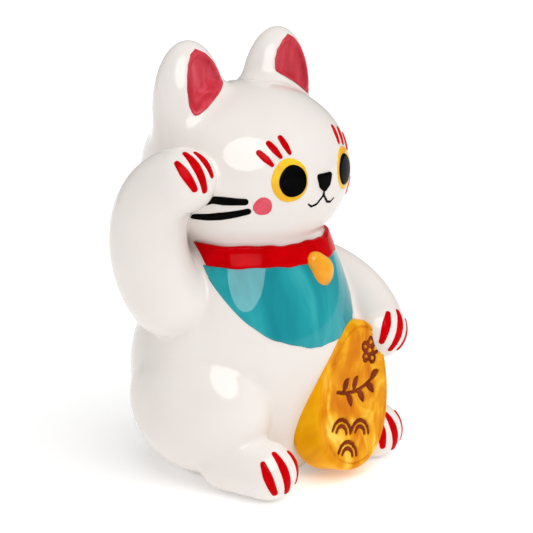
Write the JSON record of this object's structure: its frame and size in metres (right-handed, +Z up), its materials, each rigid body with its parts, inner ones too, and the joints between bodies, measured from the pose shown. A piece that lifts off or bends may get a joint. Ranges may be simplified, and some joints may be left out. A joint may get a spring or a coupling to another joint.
{
  "type": "beckoning cat coin bank",
  "caption": "Sitting beckoning cat figurine in glazed ceramic, paw raised, holding an oval coin; hollow coin bank with a slot behind and a stopper under the base.",
  "frame": {"origin": "centre of the base, on the plane the figure stands on", "axes": "+Z up through the head, the cat faces -Y, its own left side is +X"},
  "size_m": [0.1155, 0.1049, 0.165],
  "materials": {
    "white_glaze": "gloss",
    "red_enamel": "gloss",
    "teal_enamel": "gloss",
    "amber_enamel": "gloss",
    "brown_enamel": "gloss",
    "pink_enamel": "gloss",
    "yellow_enamel": "gloss",
    "black_enamel": "gloss",
    "soft_stopper": "matte"
  },
  "bodies": {
    "figure": {"bell": "amber_enamel", "bib": "teal_enamel", "brow_marks_left": "red_enamel", "brow_marks_right": "red_enamel", "cheek_left": "pink_enamel", "cheek_right": "pink_enamel", "claws_holding_paw": "red_enamel", "claws_left_foot": "red_enamel", "claws_raised_paw": "red_enamel", "claws_right_foot": "red_enamel", "collar": "red_enamel", "ear_lining_left": "pink_enamel", "ear_lining_right": "pink_enamel", "head_shell": "white_glaze", "holding_arm": "white_glaze", "iris_left": "yellow_enamel", "iris_right": "yellow_enamel", "koban": "amber_enamel", "koban_marks": "brown_enamel", "left_ear": "white_glaze", "left_foot": "white_glaze", "left_haunch": "white_glaze", "mouth": "black_enamel", "nose": "black_enamel", "pupil_left": "black_enamel", "pupil_right": "black_enamel", "raised_arm": "white_glaze", "right_ear": "white_glaze", "right_foot": "white_glaze", "right_haunch": "white_glaze", "tail": "white_glaze", "torso_shell": "white_glaze", "whiskers_left": "black_enamel", "whiskers_right": "black_enamel"},
    "stopper": {"stopper": "soft_stopper"}
  },
  "joints": [
    {"name": "stopper_pull", "type": "slide", "parent": "figure", "child": "stopper", "axis": [0, 0, -1], "range_m": [0, 0.03]}
  ]
}
